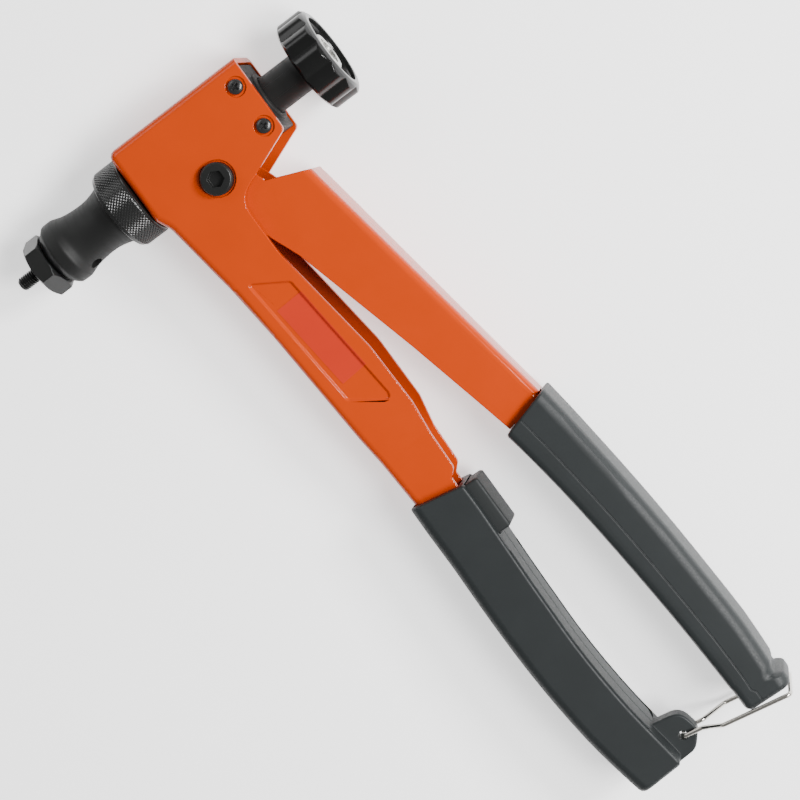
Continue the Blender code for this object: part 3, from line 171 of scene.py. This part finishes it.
def surface(name, colour, spread, roughness, metallic=0.0, grain=900.0, grain_depth=0.02,
            specular=0.5, stretch=(1, 1, 1), round_x=0.0):
    """A finish whose colour and gloss vary a little, over a fine grain that may run one way."""
    item, nodes, links, shader = material_nodes(name)
    place = nodes.new("ShaderNodeTexCoord")
    run = made(nodes, "ShaderNodeMapping", Scale=stretch)
    links.new(place.outputs["Object"], run.inputs["Vector"])
    broad = made(nodes, "ShaderNodeTexNoise", Scale=PATCH_SCALE, Detail=4.0, Roughness=0.6)
    fine = made(nodes, "ShaderNodeTexNoise", Scale=grain, Detail=3.0, Roughness=0.55)
    links.new(place.outputs["Object"], broad.inputs["Vector"])
    links.new(run.outputs["Vector"], fine.inputs["Vector"])
    tint = nodes.new("ShaderNodeValToRGB")
    tint.color_ramp.elements[0].position = 0.3
    tint.color_ramp.elements[1].position = 0.7
    tint.color_ramp.elements[0].color = (*[c * (1 - spread) for c in colour], 1)
    tint.color_ramp.elements[1].color = (*[min(c * (1 + spread), 1) for c in colour], 1)
    links.new(broad.outputs["Fac"], tint.inputs["Fac"])
    links.new(tint.outputs["Color"], shader.inputs["Base Color"])
    gloss = nodes.new("ShaderNodeMapRange")
    gloss.inputs["From Min"].default_value = 0.3
    gloss.inputs["From Max"].default_value = 0.7
    gloss.inputs["To Min"].default_value = roughness * 0.86
    gloss.inputs["To Max"].default_value = roughness * 1.14
    links.new(fine.outputs["Fac"], gloss.inputs["Value"])
    links.new(gloss.outputs["Result"], shader.inputs["Roughness"])
    bump = made(nodes, "ShaderNodeBump", Strength=1.0, Distance=grain_depth * mm)
    links.new(fine.outputs["Fac"], bump.inputs["Height"])
    links.new(bump.outputs["Normal"], shader.inputs["Normal"])
    shader.inputs["Metallic"].default_value = metallic
    shader.inputs["Specular IOR Level"].default_value = specular
    if round_x:
        shader.inputs["Anisotropic"].default_value = round_x
        tangent = made(nodes, "ShaderNodeTangent", direction_type="RADIAL", axis="X")
        links.new(tangent.outputs["Tangent"], shader.inputs["Tangent"])
    return item


RINGS = (1.0, 0.04, 0.04)
SURFACES = {
    "orange_paint": surface("orange_paint_gloss", (0.44, 0.038, 0.0001), 0.025, 0.13, grain=300.0,
                            grain_depth=0.004, specular=0.22),
    "black_oxide": surface("black_oxide_satin", (0.009, 0.0092, 0.009), 0.2, 0.36,
                           grain=2200.0, grain_depth=0.006, specular=0.35),
    "bright_steel": surface("bright_steel_machined", (0.50, 0.50, 0.48), 0.06, 0.28, metallic=1.0,
                            grain=1800.0, grain_depth=0.004),
    "black_plastic": surface("black_plastic_satin", (0.0050, 0.0052, 0.0050), 0.15, 0.20,
                             grain=900.0, grain_depth=0.008, specular=0.3),
    "slate_grip": surface("slate_grip_moulded", (0.0125, 0.0150, 0.0155), 0.08, 0.52, grain=1500.0,
                          grain_depth=0.018, specular=0.3),
    "black_rubber": surface("black_rubber_matt", (0.012, 0.014, 0.014), 0.1, 0.6, grain=1400.0,
                            grain_depth=0.02, specular=0.3),
    "nickel_wire": surface("nickel_wire_bright", (0.55, 0.53, 0.49), 0.05, 0.2, metallic=1.0,
                           grain=1500.0, grain_depth=0.004),
}
TURNED = surface("black_oxide_turned", (0.009, 0.0092, 0.009), 0.15, 0.46, grain=2600.0,
                 grain_depth=0.008, stretch=RINGS, round_x=0.8, specular=0.3)
GUIDE_PLASTIC = surface("black_plastic_dull", (0.013, 0.012, 0.0115), 0.12, 0.55, grain=700.0,
                        grain_depth=0.02, specular=0.12)
LABEL = surface("label_film", (0.44, 0.024, 0.007), 0.03, 0.34, grain=1800.0, grain_depth=0.004,
                specular=0.25)
KNURLED = surface("black_oxide_knurled", (0.009, 0.0092, 0.009), 0.15, 0.26, grain=2600.0,
                  grain_depth=0.002, specular=0.4)
SCREW_BLACK = surface("black_zinc", (0.012, 0.012, 0.012), 0.15, 0.27, grain=2600.0,
                      grain_depth=0.002, specular=0.6)
GUIDE_SCREWS = {  # how far each screw's recess is turned, in degrees
    "guide_screw_near_upper": 18, "guide_screw_near_lower": 8,
    "guide_screw_far_upper": 40, "guide_screw_far_lower": 62,
}
OWN_FINISH = {"nose_sleeve": TURNED, "pull_sleeve": TURNED, "rear_guide": GUIDE_PLASTIC,
              "lock_ring": KNURLED}
OWN_FINISH.update({screw: SCREW_BLACK for screw in GUIDE_SCREWS})


# Ways to make and place a piece


def ride_with(piece, node, finish=None):
    """The piece takes the node's finish and moves with its body."""
    slot = slot_of[node]
    piece.data.materials.clear()
    piece.data.materials.append(finish or OWN_FINISH.get(node) or SURFACES[slot])
    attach(piece, body_of[node])


def stand_in(mesh, node, edge=0, angle=34, segments=2, also=None):
    """A piece that is shown for the node, with edges broken and normals weighted by face."""
    mesh.shade_smooth()
    mesh.set_sharp_from_angle(angle=math.radians(angle))
    piece = bpy.data.objects.new(f"{node}_dressed", mesh)
    scene.collection.objects.link(piece)
    if edge:
        mark_edges(mesh, math.radians(angle), also)
        bevel = piece.modifiers.new("edge", "BEVEL")
        bevel.width = edge * mm
        bevel.segments = segments
        bevel.limit_method = "WEIGHT"
        bevel.use_clamp_overlap = False
        weigh = piece.modifiers.new("weigh", "WEIGHTED_NORMAL")
        weigh.mode = "FACE_AREA"
        weigh.weight = 60
    ride_with(piece, node)
    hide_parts(node)
    return piece


def mark_edges(mesh, angle, also):
    """Weight the edges that the bevel takes: the sharp ones, and those that also() names."""
    shape = bmesh.new()
    shape.from_mesh(mesh)
    layer = shape.edges.layers.float.new("bevel_weight_edge")
    for edge in shape.edges:
        if len(edge.link_faces) != 2:
            continue
        turn = edge.calc_face_angle(0)
        if turn > angle or (also and also(edge, turn)):
            edge[layer] = 1
    shape.to_mesh(mesh)
    shape.free()


def cad_mesh(node):
    """A clean copy of the node's mesh, with its flat faces whole."""
    shape = bmesh.new()
    shape.from_mesh(frame["nodes"][node].data)
    bmesh.ops.remove_doubles(shape, verts=shape.verts, dist=2e-6)
    bmesh.ops.dissolve_limit(shape, angle_limit=0.003, verts=shape.verts, edges=shape.edges)
    mesh = bpy.data.meshes.new(node)
    shape.to_mesh(mesh)
    shape.free()
    return mesh


def carved(mesh, tool, operation="DIFFERENCE"):
    """The mesh after one Boolean with another mesh."""
    item = bpy.data.objects.new("carved", mesh)
    cutter = bpy.data.objects.new("cutter", tool)
    scene.collection.objects.link(item)
    scene.collection.objects.link(cutter)
    step = item.modifiers.new("carve", "BOOLEAN")
    step.operation = operation
    step.object = cutter
    bpy.context.view_layer.update()
    graph = bpy.context.evaluated_depsgraph_get()
    result = bpy.data.meshes.new_from_object(item.evaluated_get(graph))
    bpy.data.objects.remove(item)
    bpy.data.objects.remove(cutter)
    return result


def closed(shape, name):
    """A mesh from the working shape, with its normals outwards."""
    bmesh.ops.recalc_face_normals(shape, faces=shape.faces)
    mesh = bpy.data.meshes.new(name)
    shape.to_mesh(mesh)
    shape.free()
    return mesh


def spun(rows, sides, bored=False, reach=None, centre=SPINDLE, phase=0.0):
    """A closed mesh turned about the spindle line; reach(turn, x, radius) may shape a row."""
    shape = bmesh.new()
    loops = []
    for x, radius in rows:
        loop = []
        for step in range(sides):
            turn = 2 * math.pi * step / sides + phase
            size = reach(turn, x, radius) if reach else radius
            spot = Vector((x, size * math.cos(turn), size * math.sin(turn)))
            loop.append(shape.verts.new(centre + spot))
        loops.append(loop)
    pairs = list(zip(loops, loops[1:]))
    if bored:
        pairs.append((loops[-1], loops[0]))
    else:
        shape.faces.new(loops[0])
        shape.faces.new(loops[-1])
    for first, second in pairs:
        for step in range(sides):
            after = (step + 1) % sides
            shape.faces.new((first[step], first[after], second[after], second[step]))
    return closed(shape, "spun")


def curved(rows, steps):
    """A smooth line through the given (x, radius) rows."""
    line = []
    padded = [rows[0]] + list(rows) + [rows[-1]]
    for a, b, c, d in zip(padded, padded[1:], padded[2:], padded[3:]):
        for i in range(steps):
            t = i / steps
            line.append(tuple(0.5 * (2 * q + (r - p) * t + (2 * p - 5 * q + 4 * r - s) * t * t
                                     + (3 * q - p - 3 * r + s) * t ** 3)
                              for p, q, r, s in zip(a, b, c, d)))
    return line + [rows[-1]]


def along_spindle(node):
    """The node's first and last place along the spindle line, and its largest radius."""
    low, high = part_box(node)
    return low.x - SPINDLE.x, high.x - SPINDLE.x, (high.z - low.z) / 2


# Lock ring: diamond knurl between a smooth front chamfer and a narrow rear rim

KNURL_ROUND = 68
KNURL_STEPS = 6
RING_BORE = 9.3 * mm
KNURL_PITCH = 1.5 * mm
KNURL_DEPTH = 0.32 * mm
ring_front, ring_rear, ring = along_spindle("lock_ring")
knurl_start = ring_front + 1.75 * mm
knurl_end = ring_rear - 0.9 * mm


def saw(value):
    return abs(2 * (value % 1) - 1)


def knurled(turn, x, radius):
    if radius < ring - 0.01 * mm:
        return radius
    across = KNURL_ROUND * turn / (2 * math.pi)
    along = (x - knurl_start) / KNURL_PITCH
    return ring - KNURL_DEPTH * (1 - min(saw(across + along), saw(across - along)))


knurl_rows = int((knurl_end - knurl_start) / (KNURL_PITCH / KNURL_STEPS))
ring_profile = [
    (ring_front, RING_BORE),
    (ring_front, ring - 1.35 * mm),
    (ring_front + 0.10 * mm, ring - 1.1 * mm),
    (ring_front + 0.3 * mm, ring - 0.85 * mm),
    (ring_front + 1.3 * mm, ring - 0.5 * mm),
    (ring_front + 1.6 * mm, ring - 0.42 * mm),
]
ring_profile += [(knurl_start + i * KNURL_PITCH / KNURL_STEPS, ring) for i in range(knurl_rows + 1)]
ring_profile += [
    (knurl_end + 0.25 * mm, ring - 0.5 * mm),
    (ring_rear - 0.2 * mm, ring - 0.52 * mm),
    (ring_rear, ring - 0.7 * mm),
    (ring_rear, RING_BORE),
]
lock_ring = spun(ring_profile, KNURL_ROUND * KNURL_STEPS, bored=True, reach=knurled)
stand_in(lock_ring, "lock_ring", angle=24)


# Nose sleeve: smooth waist, chamfered front, and a cross hole with a flared edge

CROSS_HOLE = 2.5 * mm
CROSS_HOLE_PLACE = 12.8 * mm
CROSS_HOLE_AXIS = Vector((0, -0.956, 0.292))
nose_front, nose_end, flare = along_spindle("nose_sleeve")
nose_rear = ring_front - 0.3 * mm
waist = flare - 2.3 * mm
outside = curved([
    (nose_front + 4.0 * mm, flare),
    (nose_front + 7.0 * mm, flare),
    (nose_front + 8.8 * mm, flare - 0.55 * mm),
    (nose_front + 11.2 * mm, waist + 0.95 * mm),
    (nose_front + 13.9 * mm, waist + 0.45 * mm),
    (nose_front + 16.7 * mm, waist + 0.15 * mm),
    (nose_rear - 10.5 * mm, waist),
    (nose_rear - 7.1 * mm, waist + 0.3 * mm),
    (nose_rear - 3.9 * mm, waist + 1.0 * mm),
    (nose_rear - 1.3 * mm, waist + 1.85 * mm),
], 4)
nose_profile = [
    (nose_front, 6.3 * mm),
    (nose_front, flare - 2.75 * mm),
    (nose_front + 0.15 * mm, flare - 2.5 * mm),
    (nose_front + 2.6 * mm, flare - 0.34 * mm),
    (nose_front + 3.1 * mm, flare - 0.08 * mm),
] + outside + [
    (nose_rear - 0.5 * mm, waist + 2.0 * mm),
    (nose_rear - 0.1 * mm, waist + 1.95 * mm),
    (nose_rear, waist + 1.8 * mm),
    (nose_rear, 9.0 * mm),
    (nose_end - 0.8 * mm, 9.0 * mm),
    (nose_end, 8.2 * mm),
    (nose_end, 6.5 * mm),
    (nose_front + 12.5 * mm, 6.5 * mm),
    (nose_front + 12.5 * mm, 6.3 * mm),
]
cross_hole = spun([(0, CROSS_HOLE), (flare - 1.2 * mm, CROSS_HOLE), (flare + 2.0 * mm, 4.0 * mm)],
                  40, centre=Vector())
cross_hole.transform(Vector((1, 0, 0)).rotation_difference(CROSS_HOLE_AXIS).to_matrix().to_4x4())
cross_hole.transform(Matrix.Translation(SPINDLE + Vector((nose_front + CROSS_HOLE_PLACE, 0, 0))))
stand_in(carved(spun(nose_profile, 112, bored=True), cross_hole), "nose_sleeve", angle=28)


# Anvil: hexagon whose corners are rounded off by a cone at both ends

HEX_FLATS = 22.0 * mm
HEX_LENGTH = 7.4 * mm
HEX_TURN = math.radians(-5.2)
HEX_CHAMFER = 1.1 * mm
SHANK = 6 * mm
ANVIL_BORE = 3.35 * mm
hex_face, shank_end, _ = along_spindle("anvil")
hex_across = HEX_FLATS / math.sqrt(3)
hex_rear = hex_face + HEX_LENGTH
hexagon = spun([(hex_face, hex_across), (hex_rear, hex_across)], 6, phase=HEX_TURN)
over = hex_across + 0.4 * mm
slope = HEX_CHAMFER * (over - HEX_FLATS / 2) / (hex_across - HEX_FLATS / 2)
cones = spun([(hex_face - HEX_CHAMFER, HEX_FLATS - hex_across), (hex_face + slope, over),
              (hex_rear - slope, over), (hex_rear + HEX_CHAMFER, HEX_FLATS - hex_across)], 144)
anvil = carved(hexagon, cones, "INTERSECT")
anvil = carved(anvil, spun([(hex_rear - 2 * mm, SHANK), (shank_end, SHANK)], 48), "UNION")
anvil = carved(anvil, spun([(hex_face - 2 * mm, ANVIL_BORE), (shank_end + 1 * mm, ANVIL_BORE)], 48))
anvil = carved(anvil, spun([(hex_face - 1 * mm, ANVIL_BORE + 1.5 * mm),
                            (hex_face + 0.5 * mm, ANVIL_BORE)], 48))
stand_in(anvil, "anvil", edge=0.16, angle=16)


# Mandrel: M6 thread with a chamfered tip

tip, mandrel_end, stud = along_spindle("mandrel")
THREAD_PITCH = 1.0 * mm
THREAD_DEPTH = 0.60 * mm
THREAD_TURNS = 24
THREAD_STEPS = 8
thread_end = tip + THREAD_TURNS * THREAD_PITCH


def threaded(turn, x, radius):
    if x > thread_end:
        return radius
    slope_at = (x - tip) / THREAD_PITCH - turn / (2 * math.pi)
    crest = min(max(saw(slope_at) * 1.35 - 0.2, 0), 1)
    return min(stud - THREAD_DEPTH * (1 - crest), stud - 0.95 * mm + (x - tip) * 0.9)


thread_rows = [(tip + i * THREAD_PITCH / THREAD_STEPS, stud)
               for i in range(THREAD_TURNS * THREAD_STEPS + 1)]
thread_rows += [(thread_end + 0.3 * mm, stud - 0.3 * mm), (mandrel_end, stud - 0.3 * mm)]
stand_in(spun(thread_rows, 36, reach=threaded), "mandrel", angle=38)


# Knob: twelve low lobes that meet in shallow valleys, cut by a crown at both ends

KNOB_LOBES = 12
VALLEY = 1.4 * mm
KNOB_BORE = 4.3 * mm
SOCKET = 8.1 * mm
FRONT_STEPS = (0, 0.25, 0.5, 0.75, 1.0, 1.25, 1.5, 1.8, 2.4, 4.0)
REAR_STEPS = (4.0, 3.0, 2.6, 2.35, 2.1, 1.9, 1.7, 1.5, 1.3, 1.1, 0.9, 0.7, 0.5, 0.35, 0.2, 0.08)
knob_front, knob_rear, knob = along_spindle("knob")
knob_phase = math.radians(92.0)


def crown(x):
    """The radius that the ends' round chamfers leave."""
    line = [(knob_front, -2.6), (knob_front + 0.5 * mm, -1.5), (knob_front + 1.6 * mm, 0.3),
            (knob_rear - 2.5 * mm, 0.3), (knob_rear - 1.7 * mm, -0.35),
            (knob_rear - 0.8 * mm, -1.25), (knob_rear, -2.75)]
    for (a, below), (b, above) in zip(line, line[1:]):
        if x <= b:
            return knob + mm * (below + (above - below) * (x - a) / (b - a))
    return knob + line[-1][1] * mm


def lobe(turn):
    return knob - VALLEY * (1 - abs(math.cos(KNOB_LOBES * (turn - knob_phase) / 2)) ** 1.1)


def knob_reach(turn, x, radius):
    if radius < knob - 0.01 * mm:
        return radius
    return min(lobe(turn), crown(x))


recess_floor = knob_rear - 2.6 * mm
socket_floor = knob_rear - 9.6 * mm
knob_rows = [(knob_front, KNOB_BORE)]
knob_rows += [(knob_front + t * mm, knob) for t in FRONT_STEPS]
knob_rows += [(knob_rear - t * mm, knob) for t in REAR_STEPS]
knob_rows += [
    (knob_rear, knob - 2.95 * mm),
    (knob_rear, 14.9 * mm),
    (knob_rear - 0.25 * mm, 14.6 * mm),
    (recess_floor + 0.9 * mm, 14.45 * mm),
    (recess_floor + 0.3 * mm, 14.1 * mm),
    (recess_floor, 13.4 * mm),
    (recess_floor, SOCKET),
    (socket_floor, SOCKET),
    (socket_floor, KNOB_BORE),
]
knob_mesh = spun(knob_rows, KNOB_LOBES * 24, bored=True, reach=knob_reach, phase=knob_phase)
stand_in(knob_mesh, "knob", angle=24)


# Knob insert: fine teeth round it, a bright face, and a dished grey middle

INSERT_TEETH = 40
insert_back, insert_face, insert = along_spindle("knob_insert")


def toothed(turn, x, radius):
    if radius < 7.3 * mm:
        return radius
    return radius - 0.42 * mm * (1 - saw(INSERT_TEETH * turn / (2 * math.pi)))


insert_rows = [
    (insert_back, KNOB_BORE),
    (insert_back, insert),
    (insert_face - 0.5 * mm, insert),
    (insert_face, 7.2 * mm),
    (insert_face, 5.7 * mm),
    (insert_face - 0.2 * mm, 5.5 * mm),
    (insert_face - 0.85 * mm, 5.4 * mm),
    (insert_face - 0.95 * mm, 5.2 * mm),
    (insert_face - 0.95 * mm, KNOB_BORE),
]
stand_in(spun(insert_rows, INSERT_TEETH * 4, bored=True, reach=toothed), "knob_insert", angle=24)


# Guide screws: domed pan heads with a tapered cross recess

CROSS_RECESS = (1.75 * mm, 0.42 * mm, 1.2 * mm)
SCREW_SHANK = 1.5 * mm
SCREW_HEAD = 2.0 * mm

def cross_arm(length, width, depth, turn):
    """One arm of the recess, narrower and shorter at its floor."""
    shape = bmesh.new()
    rings = []
    for height, share in ((0.4 * mm, 1.25), (0, 1.0), (-depth, 0.52)):
        rings.append([shape.verts.new((sx * length * share, sy * width * (0.5 + share / 2), height))
                      for sx, sy in ((-1, -1), (1, -1), (1, 1), (-1, 1))])
    shape.faces.new(rings[0])
    shape.faces.new(rings[-1])
    for first, second in zip(rings, rings[1:]):
        for step in range(4):
            after = (step + 1) % 4
            shape.faces.new((first[step], first[after], second[after], second[step]))
    mesh = closed(shape, "arm")
    mesh.transform(Matrix.Rotation(turn, 4, "Z"))
    return mesh


def guide_screw(node, turn):
    low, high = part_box(node)
    side = 1 if high.z > PIVOT.z else -1
    top = high.z if side > 0 else low.z
    middle = Vector(((low.x + high.x) / 2, (low.y + high.y) / 2, top))
    tail = -abs(high.z - low.z)
    rows = [(tail, 1.0 * mm), (tail + 0.5 * mm, SCREW_SHANK), (-SCREW_HEAD, SCREW_SHANK),
            (-SCREW_HEAD, 2.92 * mm), (-1.92 * mm, 3.0 * mm), (-1.2 * mm, 3.0 * mm),
            (-0.9 * mm, 2.93 * mm), (-0.62 * mm, 2.72 * mm), (-0.38 * mm, 2.36 * mm),
            (-0.18 * mm, 1.85 * mm), (-0.05 * mm, 1.1 * mm), (0, 0.4 * mm)]
    mesh = spun(rows, 40, centre=Vector())
    mesh.transform(Matrix.Rotation(math.radians(-90), 4, "Y"))
    for arm_turn in (turn, turn + math.pi / 2):
        mesh = carved(mesh, cross_arm(*CROSS_RECESS, arm_turn))
    if side < 0:
        mesh.transform(Matrix.Rotation(math.pi, 4, "X"))
    mesh.transform(Matrix.Translation(middle))
    stand_in(mesh, node, edge=0.06, angle=40)


for screw, turned_by in GUIDE_SCREWS.items():
    guide_screw(screw, math.radians(turned_by))


# Pieces that keep the node's own form, with their edges broken


PANEL_TURNS = (0.30, 0.75)
PANEL_X = (-18 * mm, 8 * mm)
PANEL_Y = (-118 * mm, -34 * mm)
PANEL_HEIGHT = 9 * mm


def panel_edge(edge, turn):
    """Whether an edge bounds the sloped wall of the pressed panel."""
    if not PANEL_TURNS[0] < turn < PANEL_TURNS[1]:
        return False
    a, b = (vert.co - PIVOT for vert in edge.verts)
    flat = any(abs(face.normal.z) > 0.99 for face in edge.link_faces)
    inside = all(PANEL_Y[0] < p.y < PANEL_Y[1] and PANEL_X[0] < p.x < PANEL_X[1] for p in (a, b))
    return flat and inside and min(abs(a.z), abs(b.z)) > PANEL_HEIGHT


EDGES = {
    "body_shell": 0.35, "moving_handle": 0.35, "fixed_grip": 0.3, "moving_grip": 0.3,
    "handle_stop": 0.3, "front_bush": 0.15, "rear_guide": 0.3, "pivot_bolt": 0.2, "pivot_nut": 0.2,
    "pivot_bush": 0.15, "pull_sleeve": 0.15, "drive_shaft": 0.15, "mandrel_coupler": 0.15,
}
for node, edge in EDGES.items():
    stand_in(cad_mesh(node), node, edge, segments=3,
             also=panel_edge if node == "body_shell" else None)

wire = stand_in(cad_mesh("bail_wire"), "bail_wire", angle=60)
smoother = wire.modifiers.new("smoother", "SUBSURF")
smoother.levels = 1
smoother.render_levels = 1


# Plain label in the pressed panel: a thin film that follows the steel under it

LABEL_CORNERS = [Vector(corner) * mm  # from the pivot, the way round
                 for corner in ((-12.26, -54.03), (0.23, -53.36), (3.55, -90.68), (-8.64, -91.73))]
LABEL_TOP = 0.14 * mm
LABEL_BACK = 0.03 * mm
LABEL_GRID = (30, 44)
ABOVE_THE_TOOL = 30 * mm


def rim(rows):
    """The outline of a grid of rows, the way round."""
    there = rows[0] + [row[-1] for row in rows[1:]]
    back = rows[-1][-2::-1] + [row[0] for row in rows[-2:0:-1]]
    return there + back


def label_film():
    source = frame["nodes"]["body_shell"].data
    tree = BVHTree.FromPolygons([vert.co for vert in source.vertices],
                                [list(face.vertices) for face in source.polygons])
    across, down = LABEL_GRID
    a, b, c, d = LABEL_CORNERS
    shape = bmesh.new()
    layers = []
    for lift in (LABEL_TOP, LABEL_BACK):
        rows = []
        for i in range(down + 1):
            t = i / down
            row = []
            for j in range(across + 1):
                s = j / across
                spot = (a * (1 - s) + b * s) * (1 - t) + (d * (1 - s) + c * s) * t
                start = PIVOT + Vector((spot.x, spot.y, ABOVE_THE_TOOL))
                hit = tree.ray_cast(start, Vector((0, 0, -1)))[0]
                row.append(shape.verts.new(hit + Vector((0, 0, lift))))
            rows.append(row)
        layers.append(rows)
    upper, lower = layers
    for i in range(down):
        for j in range(across):
            shape.faces.new((upper[i][j], upper[i][j + 1], upper[i + 1][j + 1], upper[i + 1][j]))
            shape.faces.new((lower[i][j], lower[i + 1][j], lower[i + 1][j + 1], lower[i][j + 1]))
    top_rim, low_rim = rim(upper), rim(lower)
    for i in range(len(top_rim)):
        after = (i + 1) % len(top_rim)
        shape.faces.new((top_rim[i], low_rim[i], low_rim[after], top_rim[after]))
    mesh = closed(shape, "label")
    mesh.shade_smooth()
    mesh.set_sharp_from_angle(angle=math.radians(50))
    return mesh


label = bpy.data.objects.new("plain_label", label_film())
scene.collection.objects.link(label)
ride_with(label, "body_shell", LABEL)
